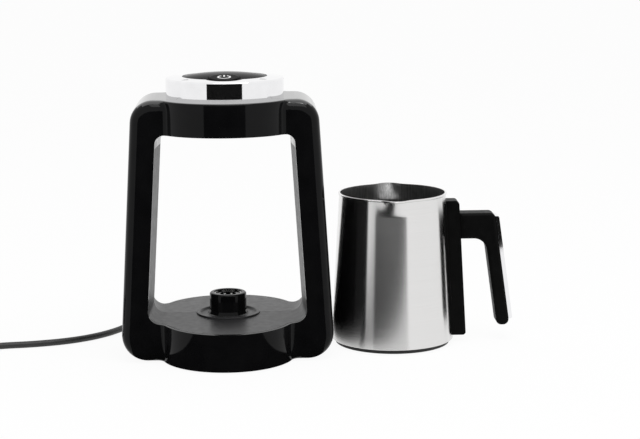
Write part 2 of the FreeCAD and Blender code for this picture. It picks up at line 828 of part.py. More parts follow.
keep(place(turned("heater_form", [
    (0, heater_high - S["heater_thick"]),
    (S["heater_radius"], heater_high - S["heater_thick"], S["heater_thick"] / 4),
    (S["heater_radius"], heater_high),
    (0, heater_high),
]), pot_x, pot_y), "heater_plate")
element_z = heater_high - S["heater_thick"] - S["element_size"]
element = primitive("Torus", "element_form", pot_x, pot_y, element_z,
                    Radius1=S["element_radius"], Radius2=S["element_size"])
keep(element, "heating_element")

# handle: a bracket on the wall, an arm that turns down into the grip, a chrome strip
bracket_inner = S["rim_radius"] - steel
lean_at = S["pot_foot_radius"] + taper * S["pot_foot"]
wall_low = lean_at - taper * S["bracket_foot"]
wall_high = lean_at - taper * S["bracket_top"]
bracket = extruded("bracket_form", "XZ_Plane", [
    (bracket_inner, S["bracket_foot"]),
    (wall_low + S["bracket_thick"], S["bracket_foot"], S["bracket_thick"] / 4),
    (wall_high + S["bracket_thick"], S["bracket_top"], S["bracket_thick"] / 3),
    (bracket_inner, S["bracket_top"]),
], S["bracket_half"] * 2, midplane=True)
pot_cone = primitive("Cone", "pot_cone", ZERO, ZERO, ZERO, Radius1=lean_at,
                     Radius2=lean_at - taper * rim, Height=rim)
keep(place(cut("bracket_cut", bracket, pot_cone), pot_x, pot_y), "handle_bracket")

arm_low = S["arm_top"] - S["arm_height"]
slope = (S["grip_foot_out"] - S["grip_top_out"]) / (S["arm_top"] - S["grip_foot"])
arm_root_high = wall_high + taper * (S["bracket_top"] - S["arm_top"]) + S["bracket_thick"]
arm_root_low = wall_high + taper * (S["bracket_top"] - arm_low) + S["bracket_thick"]
grip = extruded("grip_form", "XZ_Plane", [
    (arm_root_low, arm_low),
    (S["grip_top_out"] + slope * S["arm_height"] - S["grip_thick"], arm_low,
     S["grip_inner"]),
    (S["grip_foot_out"] - S["grip_thick"], S["grip_foot"], S["grip_corner"]),
    (S["grip_foot_out"], S["grip_foot"], S["grip_corner"]),
    (S["grip_top_out"], S["arm_top"], S["grip_corner"]),
    (arm_root_high, S["arm_top"]),
], S["grip_half"] * 2, midplane=True)


def long_edge(edge):
    """Edges along both side faces of the handle, away from its root."""
    box = edge.BoundBox
    on_side = box.YLength < 0.01 and abs(abs(box.YMin) - SIZES["grip_half"]) < 0.01
    return on_side and box.XMax > float(arm_root_high) + 1


round_edges(grip, S["grip_edge"], long_edge)
keep(place(grip, pot_x, pot_y), "handle_grip")
strip_top = S["arm_top"] - S["plate_inset"]
strip_low = S["grip_foot"] + S["plate_inset"] * 2
strip_high_x = S["grip_top_out"] + slope * S["plate_inset"]
strip_low_x = S["grip_foot_out"] - slope * S["plate_inset"] * 2
keep(place(extruded("strip_form", "XZ_Plane", [
    (strip_low_x, strip_low),
    (strip_low_x + S["plate_thick"], strip_low, S["plate_thick"] / 2),
    (strip_high_x + S["plate_thick"], strip_top, S["plate_thick"] / 2),
    (strip_high_x, strip_top),
], S["plate_half"] * 2, midplane=True), pot_x, pot_y), "handle_strip")

# strain relief at the rear, on the axis of the cord
gland_y = S["base_radius"]
gland = fuse(
    "gland_form",
    primitive("Cylinder", "gland_flange", ZERO, gland_y - S["flange_thick"] * 2,
              S["gland_height"], (1, 0, 0), -90, Radius=S["flange_radius"],
              Height=S["flange_thick"] * 3),
    primitive("Cone", "gland_sleeve", ZERO, gland_y + S["flange_thick"],
              S["gland_height"], (1, 0, 0), -90, Radius1=S["gland_foot"],
              Radius2=S["gland_tip"], Height=S["gland_length"] - S["flange_thick"]))
slots = [
    cut("gland_slot_%d" % i,
        primitive("Cylinder", "slot_out_%d" % i, ZERO, gland_y + S["slot_pitch"] * (i + 1),
                  S["gland_height"], (1, 0, 0), -90, Radius=S["flange_radius"],
                  Height=S["slot_width"]),
        primitive("Cylinder", "slot_in_%d" % i, ZERO, gland_y + S["slot_pitch"] * (i + 1),
                  S["gland_height"], (1, 0, 0), -90,
                  Radius=S["cord_diameter"] / 2 + S["slot_core"], Height=S["slot_width"]))
    for i in range(4)
]
keep(cut("gland_cut", gland, *slots), "cord_gland")

# mains cord: straight runs joined by tangent arcs, lying on the floor behind and
# to the left of the station, then a neat coil, then a short lead into the plug
radius = SIZES["cord_diameter"] / 2
lie = radius + 0.1
exit_y = SIZES["base_radius"] + SIZES["gland_length"]
start_y = SIZES["coil_y"] - SIZES["coil_radius"]
ROUTE = [
    (0, exit_y, SIZES["gland_height"]),
    (0, exit_y + 21, SIZES["gland_height"] - 2),
    (-9, exit_y + 46, lie + 1.5),
    (-36, exit_y + 62, lie),
    (-69, exit_y + 54, lie),
    (-86, exit_y + 22, lie),
    (-95, exit_y - 14, lie),
    (-114, exit_y - 47, lie),
    (-142, exit_y - 70, lie),
    (-176, exit_y - 82, lie),
    (-208, exit_y - 86, lie),
    (-237, start_y, lie),
    (SIZES["coil_x"], start_y, lie),
]
turns = SIZES["coil_turns"]
coil_top = lie + SIZES["coil_step"] * turns
plug_axis = SIZES["plug_face"] + 0.1
plug_aside = 4
LEAD = [
    (SIZES["coil_x"] - 2 * radius, start_y, coil_top),
    (SIZES["coil_x"] - 20, start_y, coil_top),
    (SIZES["coil_x"] - 38, start_y + 1.5, 17),
    (SIZES["coil_x"] - 57, start_y + 3, 13),
    (SIZES["coil_x"] - 76, start_y + plug_aside, plug_axis),
    (SIZES["coil_x"] - SIZES["lead_reach"], start_y + plug_aside, plug_axis),
]


def smooth_path(points):
    """Edges of straight runs joined by tangent arcs as large as the runs allow."""
    spots = [FreeCAD.Vector(*p) for p in points]
    edges, radii, at = [], [], spots[0]
    for before, corner, after in zip(spots, spots[1:], spots[2:]):
        into = before - corner
        out = after - corner
        turn = math.pi - into.getAngle(out)
        shorter = min(into.Length, out.Length)
        reach = 0.45 * shorter
        bend = reach / math.tan(turn / 2)
        radii.append(bend)
        start = corner + into.normalize() * reach
        end = corner + out.normalize() * reach
        toward = (start + end) * 0.5 - corner
        centre = corner + toward.normalize() * (bend / math.cos(turn / 2))
        middle = centre + (corner - centre).normalize() * bend
        edges.append(Part.LineSegment(at, start).toShape())
        edges.append(Part.Arc(start, middle, end).toShape())
        at = end
    edges.append(Part.LineSegment(at, spots[-1]).toShape())
    return edges, radii


def biarc(start, along_start, end, along_end):
    """Two tangent arcs from one point and heading to another."""
    chord = end - start
    both = along_start + along_end
    a = 2 * (1 - along_start.dot(along_end))
    b = chord.dot(both)
    d = (-b + math.sqrt(b * b + a * chord.dot(chord))) / a
    pole_a = start + along_start * d
    pole_b = end - along_end * d
    joint = (pole_a + pole_b) * 0.5
    edges = []
    for first, pole, last in ((start, pole_a, joint), (joint, pole_b, end)):
        half = (first - pole).getAngle(last - pole) / 2
        toward = ((first + last) * 0.5 - pole).normalize()
        centre = pole + toward * ((first - pole).Length / math.cos(half))
        reach = (first - centre).Length
        middle = centre + (pole - centre).normalize() * reach
        edges.append(Part.Arc(first, middle, last).toShape())
    return edges


def coil_path():
    """Stacked loops of the coil, a quarter turn at a time, level at both ends."""
    centre = FreeCAD.Vector(SIZES["coil_x"], SIZES["coil_y"], 0)
    size = SIZES["coil_radius"]
    step = SIZES["coil_step"]
    quarters = 4 * turns
    edges = []
    spots = []
    for i in range(quarters + 1):
        angle = -math.pi / 2 - i * math.pi / 2
        level = lie + step * i / 4
        spot = centre + FreeCAD.Vector(size * math.cos(angle), size * math.sin(angle), level)
        climb = 0 if i in (0, quarters) else step / (2 * math.pi * size)
        along = FreeCAD.Vector(math.sin(angle), -math.cos(angle), climb).normalize()
        spots.append((spot, along))
    for (spot, along), (other, other_along) in zip(spots, spots[1:]):
        edges += biarc(spot, along, other, other_along)
    last = spots[-1][0]
    edges.append(Part.LineSegment(last, last + FreeCAD.Vector(-2 * radius, 0, 0)).toShape())
    return edges


def tube(name, edges):
    """A round cord swept along a path of edges."""
    path = Part.Wire(edges)
    start = edges[0].valueAt(edges[0].FirstParameter)
    along = edges[0].tangentAt(edges[0].FirstParameter)
    ring = Part.Wire(Part.Circle(start, along, radius).toShape())
    solid = path.makePipeShell([ring], True, False)
    feature = doc.addObject("Part::Feature", name)
    feature.Shape = solid
    print("%s: length %.1f, volume %.1f, section x length %.1f" % (
        name, path.Length, solid.Volume, math.pi * radius ** 2 * path.Length))
    return feature


route_edges, route_radii = smooth_path(ROUTE)
lead_edges, lead_radii = smooth_path(LEAD)
print("cord radii", [round(r, 1) for r in route_radii + lead_radii])
keep(tube("cord_form", route_edges), "cord")
coil_edges = coil_path()
keep(tube("coil_form", coil_edges), "cord_coil")
keep(tube("lead_form", lead_edges), "cord_lead")

walk = []
travelled = 0
for edge in coil_edges:
    for i in range(12):
        walk.append((travelled + edge.Length * i / 12,
                     edge.valueAt(edge.FirstParameter
                                  + (edge.LastParameter - edge.FirstParameter) * i / 12)))
    travelled += edge.Length
gaps = [
    (p - q).Length - 2 * radius
    for i, (a, p) in enumerate(walk) for b, q in walk[i + 1:] if b - a > 30 * radius / 3 * 2
]
print("least gap of the coil to itself %.2f" % min(gaps))

# plug, lying at the end of the lead with its pins pointing away
plug_x = S["coil_x"] - S["lead_reach"]
plug_y = S["coil_y"] - S["coil_radius"] + plug_aside
plug_z = S["plug_face"] + 0.1
plug_body = turned("plug_form", [
    (0, 0),
    (S["cord_diameter"] / 2 + 1.2, 0, 1.0),
    (S["cord_diameter"] / 2 + 2.4, 14, 4.0),
    (S["plug_radius"] * 0.78, 20, 4.0),
    (S["plug_radius"], 26, 3.0),
    (S["plug_radius"], S["plug_length"] - 5, 1.0),
    (S["plug_face"], S["plug_length"] - 3.5, 1.0),
    (S["plug_face"], S["plug_length"], 1.0),
    (0, S["plug_length"]),
])
place(plug_body, plug_x, plug_y, plug_z, (0, 1, 0), -90)
keep(plug_body, "plug_body")
for side, a in (("near", -1), ("far", 1)):
    pin = turned("plug_pin_form_" + side, [
        (0, 0),
        (S["plug_pin_radius"], 0),
        (S["plug_pin_radius"], S["plug_pin_length"], S["plug_pin_radius"] * 0.6),
        (0, S["plug_pin_length"]),
    ])
    place(pin, plug_x - S["plug_length"], plug_y + S["plug_pin_pitch"] / 2 * a, plug_z,
          (0, 1, 0), -90)
    keep(pin, "plug_pin_" + side)

doc.recompute()
for thing in doc.Objects:
    if "Invalid" in thing.State or "Error" in thing.State:
        raise RuntimeError("%s did not build: %s" % (thing.Name, thing.State))
for thing in PARTS:
    if thing.Shape.isNull() or not thing.Shape.isValid():
        raise RuntimeError("%s has no valid shape" % thing.Label)
os.makedirs("parts", exist_ok=True)
for thing in PARTS:
    thing.Shape.exportStep("parts/%s.step" % thing.Label)
print("%d pieces" % len(PARTS))
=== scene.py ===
import math

import bmesh
import bpy
from mathutils import Matrix, Vector


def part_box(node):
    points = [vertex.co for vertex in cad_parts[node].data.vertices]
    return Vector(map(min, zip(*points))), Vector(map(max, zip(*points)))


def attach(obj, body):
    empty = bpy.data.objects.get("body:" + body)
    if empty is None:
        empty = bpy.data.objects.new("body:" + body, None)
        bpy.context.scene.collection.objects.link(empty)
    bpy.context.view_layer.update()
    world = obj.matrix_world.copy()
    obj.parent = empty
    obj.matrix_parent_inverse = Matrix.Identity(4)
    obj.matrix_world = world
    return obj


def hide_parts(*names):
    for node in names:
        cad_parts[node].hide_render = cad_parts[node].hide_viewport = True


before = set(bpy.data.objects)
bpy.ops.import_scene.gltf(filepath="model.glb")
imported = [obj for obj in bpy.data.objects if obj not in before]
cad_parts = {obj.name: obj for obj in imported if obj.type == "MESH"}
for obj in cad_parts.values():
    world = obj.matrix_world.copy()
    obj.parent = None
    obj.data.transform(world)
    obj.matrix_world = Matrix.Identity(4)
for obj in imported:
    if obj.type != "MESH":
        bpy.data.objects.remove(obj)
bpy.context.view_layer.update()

# Camera: stands a metre and a half in front of the station, 14 cm higher than its top,
# and looks down by ten degrees, turned slightly towards the pot on the right.
camera_data = bpy.data.cameras.new("camera")
camera_data.sensor_width = 36.0
camera_data.lens = 98.90
camera_data.clip_start = 0.05
camera_data.clip_end = 60.0
camera = bpy.data.objects.new("camera", camera_data)
bpy.context.collection.objects.link(camera)
turn = Matrix.Rotation(math.radians(-2.2), 4, "Z")
tip = Matrix.Rotation(math.radians(90 - 10.103), 4, "X")
roll = Matrix.Rotation(math.radians(-0.373), 4, "Z")
camera.matrix_world = Matrix.Translation((0.023774, -1.548306, 0.395454)) @ turn @ tip @ roll
bpy.context.scene.camera = camera

# Station shells: the front frame, the rear shell and the top cover are injection
# moulded in black ABS from polished tools, so they come out of the mould glossy.
ORANGE_PEEL = 0.0028
HAZE = 0.045


def shader_of(material):
    return material.node_tree.nodes["Principled BSDF"]


def stuff(name, colour, sockets):
    """A material whose even values stand on its shader's own sockets."""
    material = bpy.data.materials.new(name)
    material.use_nodes = True
    shader = shader_of(material)
    shader.inputs["Base Color"].default_value = (*colour, 1.0)
    for socket, value in sockets.items():
        shader.inputs[socket].default_value = value
    return material


def grain_in(material, size, drawn_out=(1.0, 1.0, 1.0), detail=3.0):
    """Noise through the material, size metres to a spot, drawn out along the axes."""
    nodes, links = material.node_tree.nodes, material.node_tree.links
    place = nodes.new("ShaderNodeTexCoord")
    scale = nodes.new("ShaderNodeMapping")
    scale.inputs["Scale"].default_value = [1.0 / (size * d) for d in drawn_out]
    noise = nodes.new("ShaderNodeTexNoise")
    noise.inputs["Scale"].default_value = 1.0
    noise.inputs["Detail"].default_value = detail
    links.new(place.outputs["Object"], scale.inputs["Vector"])
    links.new(scale.outputs["Vector"], noise.inputs["Vector"])
    return noise.outputs["Fac"]


def spread_over(material, fac, socket, low, high):
    """Let one shader value wander between low and high."""
    nodes, links = material.node_tree.nodes, material.node_tree.links
    between = nodes.new("ShaderNodeMapRange")
    between.inputs["From Min"].default_value = 0.3
    between.inputs["From Max"].default_value = 0.7
    between.inputs["To Min"].default_value = low
    between.inputs["To Max"].default_value = high
    links.new(fac, between.inputs["Value"])
    links.new(between.outputs["Result"], shader_of(material).inputs[socket])


def tint(material, fac, dark, light):
    """Let the colour wander between two close shades."""
    nodes, links = material.node_tree.nodes, material.node_tree.links
    ramp = nodes.new("ShaderNodeValToRGB")
    ramp.color_ramp.elements[0].position = 0.3
    ramp.color_ramp.elements[0].color = (*dark, 1.0)
    ramp.color_ramp.elements[1].position = 0.7
    ramp.color_ramp.elements[1].color = (*light, 1.0)
    links.new(fac, ramp.inputs["Fac"])
    links.new(ramp.outputs["Color"], shader_of(material).inputs["Base Color"])


def relief(material, fac, height):
    """Raise the surface by the noise, height metres from low to high."""
    nodes, links = material.node_tree.nodes, material.node_tree.links
    bump = nodes.new("ShaderNodeBump")
    bump.inputs["Distance"].default_value = height
    bump.inputs["Strength"].default_value = 1.0
    links.new(fac, bump.inputs["Height"])
    links.new(bump.outputs["Normal"], shader_of(material).inputs["Normal"])


def dress(material, *names):
    """Give finished pieces of the frame their material."""
    for name in names:
        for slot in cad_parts[name].material_slots:
            slot.material = material


gloss = stuff("gloss_black", (0.0035, 0.0035, 0.0038), {"Specular IOR Level": 0.12})
tint(gloss, grain_in(gloss, 0.02), (0.003, 0.003, 0.0033), (0.0045, 0.0045, 0.0048))
spread_over(gloss, grain_in(gloss, HAZE, detail=6.0), "Roughness", 0.045, 0.085)
relief(gloss, grain_in(gloss, ORANGE_PEEL), 0.0000012)

MM = 0.001
FOOT_LINE, COVER_TOP = 0.6, 231.5
FOOT_HALF, COVER_HALF = 95.0, 81.0
FOOT_ROUND, SHOULDER_ROUND = 23.0, 20.0
COLUMN_HALF_DEPTH, COLUMN_EDGE = 42.0, 9.5
BULGE_RADIUS, BULGE_BLEND, BULGE_EDGE = 60.0, 8.0, 1.6
BASE_FRONT, BASE_TOP = 81.0, 42.0
BAND_FRONT, BAND_LOW = 70.0, 195.0
WINDOW_REACH = 95.0
WINDOW_MIDDLE = (36.0, 201.0, 67.1, 56.9, 11.0, 8.0)
WINDOW_END = (33.6, 203.0, 74.5, 64.3, 11.0, 8.0)
SOLE_STRIP_HALF, SOLE_HALF, SOLE_HALF_DEPTH = 56.0, 70.4, 34.9
UPWARD = 0.7
LINING, LINING_TOP = 3.0, 190.0
SHELL_SKIN, LINING_GROOVE = 2.6, 0.6
FRONT_SEAM, COVER_SEAM, SEAM = -30.0, 212.0, 0.25
SHELL_WALL, PLATE_FIT = 2.4, 0.2
PLATE_LOW, PLATE_HIGH = 2.0, 4.0
FAR = 120.0
CORNER_STEPS, EDGE_STEPS, ARC_STEPS, BLEND_STEPS = 12, 6, 56, 8


def solid(name, rings):
    """A closed form through rings of points in millimetres, with flat ends."""
    count = len(rings[0])
    verts = [[value * MM for value in spot] for ring in rings for spot in ring]
    faces = [tuple(range(count)), tuple(range(len(verts) - count, len(verts)))]
    for level in range(len(rings) - 1):
        first = level * count
        for i in range(count):
            after = (i + 1) % count
            faces.append((first + i, first + after, first + count + after, first + count + i))
    mesh = bpy.data.meshes.new(name)
    mesh.from_pydata(verts, [], faces)
    form = bmesh.new()
    form.from_mesh(mesh)
    bmesh.ops.recalc_face_normals(form, faces=form.faces)
    form.to_mesh(mesh)
    form.free()
    piece = bpy.data.objects.new(name, mesh)
    bpy.context.collection.objects.link(piece)
    return piece


def worked(name, start, steps):
    """Work other forms into a copy of one, which is then a mesh of its own."""
    piece = bpy.data.objects.new(name, start.data.copy())
    bpy.context.collection.objects.link(piece)
    for operation, other in steps:
        step = piece.modifiers.new(operation, "BOOLEAN")
        step.operation = operation
        step.solver = "EXACT"
        step.object = other
    bpy.context.view_layer.update()
    seen_now = bpy.context.evaluated_depsgraph_get()
    finished = bpy.data.meshes.new_from_object(piece.evaluated_get(seen_now))
    piece.modifiers.clear()
    piece.data = finished
    return piece


def show(piece, material, slot, body, *replaced):
    """Finish a piece: shade it by its faces, dress it and seat it on its body."""
    piece.data.materials.clear()
    piece.data.materials.append(material)
    piece.data.shade_smooth()
    piece.data.set_sharp_from_angle(angle=math.radians(28))
    piece.modifiers.new("even_normals", "WEIGHTED_NORMAL").keep_sharp = True
    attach(piece, body)
    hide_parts(*replaced)


def second_material(piece, material, chosen):
    """Give the faces that a test picks out another material."""
    piece.data.materials.append(material)
    for face in piece.data.polygons:
        if chosen(face):
            face.material_index = 1


def upright_outline(low, high, low_half, high_half, low_round, high_round, inset=0.0):
    """A trapezoid with rounded corners, seen from the front, drawn in by inset."""
    lean = math.atan2(low_half - high_half, high - low)
    side = low_half * math.cos(lean) + low * math.sin(lean)
    points = []
    for z, radius, begin, end in (
            (low + low_round, low_round, -math.pi / 2, lean),
            (high - high_round, high_round, lean, math.pi / 2)):
        x = (side - radius - z * math.sin(lean)) / math.cos(lean)
        for i in range(CORNER_STEPS + 1):
            angle = begin + (end - begin) * i / CORNER_STEPS
            points.append((x + (radius - inset) * math.cos(angle),
                           z + (radius - inset) * math.sin(angle)))
    return points + [(-x, z) for x, z in reversed(points)]


def arc_points(x, y, radius, begin, end, steps):
    return [(x + radius * math.cos(begin + (end - begin) * i / steps),
             y + radius * math.sin(begin + (end - begin) * i / steps))
            for i in range(steps + 1)]


def column_depth(z):
    """How far the column face stands out at a height, with its edge rounds."""
    below = max(0.0, FOOT_LINE + COLUMN_EDGE - z, z - (COVER_TOP - COLUMN_EDGE))
    return COLUMN_HALF_DEPTH - COLUMN_EDGE + math.sqrt(COLUMN_EDGE ** 2 - below ** 2)


def round_plan(front, inset, wing=None, depth=COLUMN_HALF_DEPTH):
    """The plan from above: large arcs at front and rear, run in by hollow arcs."""
    centre = BULGE_RADIUS - front
    blend_y = -depth - BULGE_BLEND
    blend_x = math.sqrt((BULGE_RADIUS + BULGE_BLEND) ** 2 - (blend_y - centre) ** 2)
    meet = math.atan2(centre - blend_y, blend_x)
    chain = arc_points(-blend_x, blend_y, BULGE_BLEND + inset,
                       math.pi / 2, meet, BLEND_STEPS)
    chain += arc_points(0, centre, BULGE_RADIUS - inset,
                        math.pi + meet, 2 * math.pi - meet, ARC_STEPS)[1:-1]
    chain += arc_points(blend_x, blend_y, BULGE_BLEND + inset,
                        math.pi - meet, math.pi / 2, BLEND_STEPS)
    if wing is not None:
        chain.append((wing, -COLUMN_HALF_DEPTH + inset))
        chain.insert(0, (-wing, -COLUMN_HALF_DEPTH + inset))
    return chain + [(-x, -y) for x, y in chain]


def upright(outline, z):
    return [(x, y, z) for x, y in outline]


def block(name, x0, x1, y0, y1, z0, z1):
    corners = [(x0, y0), (x1, y0), (x1, y1), (x0, y1)]
    return solid(name, [upright(corners, z0), upright(corners, z1)])


def edge_rounds(radius):
    """Insets and rises of an edge round, from its outer end to its inner one."""
    turns = [math.pi / 2 * (1 - i / EDGE_STEPS) for i in range(EDGE_STEPS + 1)]
    return [(radius * (1 - math.cos(t)), radius * (1 - math.sin(t))) for t in turns]


def opening_through(name, grow):
    """The window through the station, which widens to the front and to the rear."""
    middle = upright_outline(*WINDOW_MIDDLE, -grow)
    end = upright_outline(*WINDOW_END, -grow)
    return solid(name, [[(x, y, z) for x, z in outline] for y, outline in (
        (-WINDOW_REACH, end), (0.0, middle), (WINDOW_REACH, end))])


def sole(name, inset, low, high):
    """The form of the base plate, and of the opening that takes it, drawn in by inset."""
    rounds = solid(name + "_rounds", [upright(round_plan(BASE_FRONT, inset), z)
                                      for z in (low, high)])
    strip_half = SOLE_STRIP_HALF - inset
    strip = block(name + "_strip", -strip_half, strip_half, -FAR, FAR, low - 1, high + 1)
    half, half_depth = SOLE_HALF - inset, SOLE_HALF_DEPTH - inset
    middle = block(name + "_middle", -half, half, -half_depth, half_depth, low, high)
    piece = worked(name, rounds, [("INTERSECT", strip), ("UNION", middle)])
    for form in (rounds, strip, middle):
        bpy.data.objects.remove(form)
    return piece


faces_of_slab = [(inset, COLUMN_HALF_DEPTH - drop)
                 for inset, drop in edge_rounds(COLUMN_EDGE)]
slab_rings = [(inset, -depth) for inset, depth in faces_of_slab]
slab_rings += [(inset, depth) for inset, depth in reversed(faces_of_slab)]
slab = solid("slab_form", [
    [(x, depth, z) for x, z in upright_outline(
        FOOT_LINE, COVER_TOP, FOOT_HALF, COVER_HALF, FOOT_ROUND, SHOULDER_ROUND, inset)]
    for inset, depth in slab_rings])


def bulge_ring(front, inset, z):
    return upright(round_plan(front, inset, depth=column_depth(z)), z)


BLEND_RISES = (2.6, 4.0, 5.8, 7.8, COLUMN_EDGE)
base_form = solid("base_form", [
    bulge_ring(BASE_FRONT, inset, FOOT_LINE + rise)
    for inset, rise in edge_rounds(BULGE_EDGE)] + [
    bulge_ring(BASE_FRONT, 0.0, FOOT_LINE + rise) for rise in BLEND_RISES] + [
    bulge_ring(BASE_FRONT, 0.0, BASE_TOP)])
band_form = solid("band_form", [bulge_ring(BAND_FRONT, 0.0, BAND_LOW)] + [
    bulge_ring(BAND_FRONT, 0.0, COVER_TOP - rise) for rise in reversed(BLEND_RISES)] + [
    bulge_ring(BAND_FRONT, inset, COVER_TOP - rise)
    for inset, rise in reversed(edge_rounds(BULGE_EDGE))])
window = opening_through("window_form", 0.0)
wide_window = opening_through("wide_window_form", LINING)
below_lining_top = block("lining_zone", -FAR, FAR, -FAR, FAR, 0.0, LINING_TOP)
pocket_plan = solid("pocket_plan", [
    upright(round_plan(BASE_FRONT, SHELL_SKIN, FAR), z) for z in (0.0, COVER_TOP)])
pocket = worked("pocket_form", wide_window, [
    ("INTERSECT", pocket_plan), ("INTERSECT", below_lining_top)])
opening_below = sole("sole_form", SHELL_WALL, -1.0, PLATE_HIGH + 0.5)
# Only the outside of the shells is formed here. They are filled inside, above the opening
# for the base plate, where the solids of the frame are hollow and hold the boards.
arch = worked("arch_form", slab, [
    ("UNION", base_form), ("UNION", band_form), ("DIFFERENCE", window),
    ("DIFFERENCE", pocket), ("DIFFERENCE", opening_below)])
front_zone = block("front_zone", -FAR, FAR, -FAR, FRONT_SEAM - SEAM / 2, -1.0, COVER_TOP + 1)
rear_zone = block("rear_zone", -FAR, FAR, FRONT_SEAM + SEAM / 2, FAR,
                  -1.0, COVER_SEAM - SEAM / 2)
cover_zone = block("cover_zone", -FAR, FAR, FRONT_SEAM + SEAM / 2, FAR,
                   COVER_SEAM + SEAM / 2, COVER_TOP + 1)
# The upper faces get a smoother and brighter black than the sides, because the picture
# shows them pale. The real cover has one finish.
# Painted sheen: this brighter copy of the gloss black, laid on the upper faces only, stands in
# for their pale reflection.
sheen_painted_gloss = stuff("gloss_black_top_painted_sheen", (0.0035, 0.0035, 0.0038), {
    "Specular IOR Level": 1.0, "Roughness": 0.03})
tint(sheen_painted_gloss, grain_in(sheen_painted_gloss, 0.01),
     (0.003, 0.003, 0.0033), (0.0045, 0.0045, 0.0048))
spread_over(sheen_painted_gloss, grain_in(sheen_painted_gloss, 0.006), "Roughness", 0.02, 0.05)
for name, zone in (("front_shell", front_zone), ("rear_shell", rear_zone),
                   ("top_cover", cover_zone)):
    shell = worked(name + "_finished", arch, [("INTERSECT", zone)])
    show(shell, gloss, "gloss_black", "station", name)
    if name != "rear_shell":
        second_material(shell, sheen_painted_gloss, lambda face: face.normal.z > UPWARD
                      and face.center.z > (COVER_TOP - COLUMN_EDGE) * MM)

# Deck lining: two halves of satin black ABS with a spark-eroded grain, dropped into
# the pocket between the shells and held down by the connector post.
satin = stuff("satin_lining", (0.022, 0.022, 0.023), {"Specular IOR Level": 0.3})
tint(satin, grain_in(satin, 0.012), (0.02, 0.02, 0.021), (0.026, 0.026, 0.027))
spread_over(satin, grain_in(satin, 0.006), "Roughness", 0.34, 0.42)
relief(satin, grain_in(satin, 0.0005, detail=2.0), 0.00001)
dress(satin, "post_collar")

SEAT_RADIUS = 28.7
DECK_SEAM = 0.3
lining_plan = solid("lining_plan", [
    upright(round_plan(BASE_FRONT, SHELL_SKIN + LINING_GROOVE, FAR), z)
    for z in (0.0, COVER_TOP)])
seat = solid("seat_form", [upright(arc_points(0, 0, SEAT_RADIUS, 0, 2 * math.pi, 64)[:-1], z)
                           for z in (30.0, 40.0)])
lining = worked("lining_form", wide_window, [
    ("INTERSECT", lining_plan), ("INTERSECT", below_lining_top),
    ("DIFFERENCE", window), ("DIFFERENCE", seat)])
front_half = block("front_half", -FAR, FAR, -FAR, -DECK_SEAM / 2, 0.0, COVER_TOP)
rear_half = block("rear_half", -FAR, FAR, DECK_SEAM / 2, FAR, 0.0, COVER_TOP)
for name, zone in (("deck_front", front_half), ("deck_rear", rear_half)):
    show(worked(name + "_finished", lining, [("INTERSECT", zone)]),
         satin, "satin_lining", "station", name)

# Underside: a flat ABS plate closes the base and is held by four cross-head screws.
# Rubber feet are stuck on below it, and the power board stands above it.
plain = stuff("matte_black", (0.02, 0.02, 0.021), {"Roughness": 0.5})
tint(plain, grain_in(plain, 0.01), (0.018, 0.018, 0.019), (0.026, 0.026, 0.027))
spread_over(plain, grain_in(plain, 0.004), "Roughness", 0.45, 0.6)
relief(plain, grain_in(plain, 0.0006, detail=2.0), 0.00002)
dress(plain, "panel_carrier", "sensor_plate")
show(sole("base_plate_finished", SHELL_WALL + PLATE_FIT, PLATE_LOW, PLATE_HIGH),
     plain, "matte_black", "station", "base_plate")
for form in (slab, base_form, band_form, window, wide_window, below_lining_top, pocket_plan,
             pocket, opening_below, arch, front_zone, rear_zone, cover_zone, lining_plan,
             seat, lining, front_half, rear_half):
    bpy.data.objects.remove(form)

rubber = stuff("foot_rubber", (0.025, 0.025, 0.025), {"Roughness": 0.8})
tint(rubber, grain_in(rubber, 0.003), (0.02, 0.02, 0.02), (0.034, 0.034, 0.033))
relief(rubber, grain_in(rubber, 0.0008), 0.00003)
dress(rubber, "foot_front_left", "foot_front_right", "foot_rear_left", "foot_rear_right")

board = stuff("board_green", (0.03, 0.16, 0.07), {"Roughness": 0.35})
tint(board, grain_in(board, 0.004), (0.02, 0.12, 0.05), (0.04, 0.2, 0.09))
dress(board, "power_board", "switch_board")

relay = stuff("switch_plastic", (0.02, 0.05, 0.2), {"Roughness": 0.4})
tint(relay, grain_in(relay, 0.003), (0.016, 0.045, 0.18), (0.026, 0.06, 0.23))
dress(relay, "power_relay", "button_switch")

SCREW_RADIUS, SCREW_SIDES = 0.0031, 24
SCREW_X, SCREW_Y = 0.030, 0.055
SCREW_LEVELS = ((0.0021, 1.0), (0.0014, 1.0), (0.0011, 0.82))
screw_metal = stuff("screw_metal", (0.5, 0.49, 0.47), {"Metallic": 1.0})
tint(screw_metal, grain_in(screw_metal, 0.001), (0.42, 0.41, 0.4), (0.55, 0.54, 0.52))
spread_over(screw_metal, grain_in(screw_metal, 0.0006), "Roughness", 0.25, 0.45)


def work_out(material, operation, *values):
    """One sum in the material; its terms are numbers or results of other nodes."""
    node = material.node_tree.nodes.new("ShaderNodeMath")
    node.operation = operation
    for socket, value in zip(node.inputs, values):
        if isinstance(value, (int, float)):
            socket.default_value = value
        else:
            material.node_tree.links.new(value, socket)
    return node.outputs[0]


def distances_from(material, piece, spot):
    """How far a place on the piece is from a spot of the frame, along x and y."""
    nodes, links = material.node_tree.nodes, material.node_tree.links
    place = nodes.new("ShaderNodeTexCoord")
    shift = nodes.new("ShaderNodeVectorMath")
    shift.operation = "SUBTRACT"
    shift.inputs[1].default_value = piece.matrix_world.inverted() @ Vector(spot)
    apart = nodes.new("ShaderNodeSeparateXYZ")
    links.new(place.outputs["Object"], shift.inputs[0])
    links.new(shift.outputs["Vector"], apart.inputs["Vector"])
    return apart.outputs["X"], apart.outputs["Y"]


def within(material, value, middle, half):
    """One where the value is no further than half from the middle, else nought."""
    return work_out(material, "COMPARE", value, middle, half)


